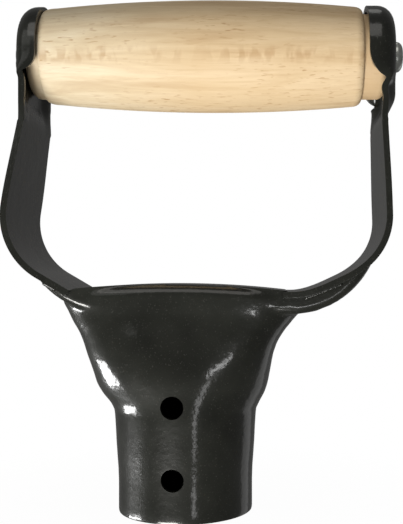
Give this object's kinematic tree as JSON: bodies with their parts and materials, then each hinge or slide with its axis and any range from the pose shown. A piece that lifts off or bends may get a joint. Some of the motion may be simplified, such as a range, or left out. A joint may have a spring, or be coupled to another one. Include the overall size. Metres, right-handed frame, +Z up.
{
  "type": "shaft hand grip",
  "caption": "D-shaped pressed steel hand grip with a turned wooden crossbar, for the top of a spade, fork or auger shaft.",
  "frame": {"origin": "centre of the socket's mouth, on the shaft axis", "axes": "+Z up the shaft axis, +X along the wooden grip towards the rivet's head, -Y towards the front with the fixing holes"},
  "size_m": [0.1172, 0.0434, 0.1541],
  "materials": {
    "frame_paint": "gloss graphite black paint with a slight orange peel",
    "beech": "bare sanded beech",
    "zinc": "zinc plated steel"
  },
  "bodies": {
    "frame": {"socket_shell": "frame_paint", "seam_weld": "frame_paint", "left_arm": "frame_paint", "right_arm": "frame_paint", "left_front_weld": "frame_paint", "left_rear_weld": "frame_paint", "right_front_weld": "frame_paint", "right_rear_weld": "frame_paint", "rivet": "zinc", "rivet_burr": "zinc"},
    "grip": {"grip": "beech"}
  },
  "joints": [
    {"name": "grip_turn", "type": "hinge", "parent": "frame", "child": "grip", "pos_m": [0, 0, 0.1374], "axis": [1, 0, 0], "continuous": true}
  ]
}
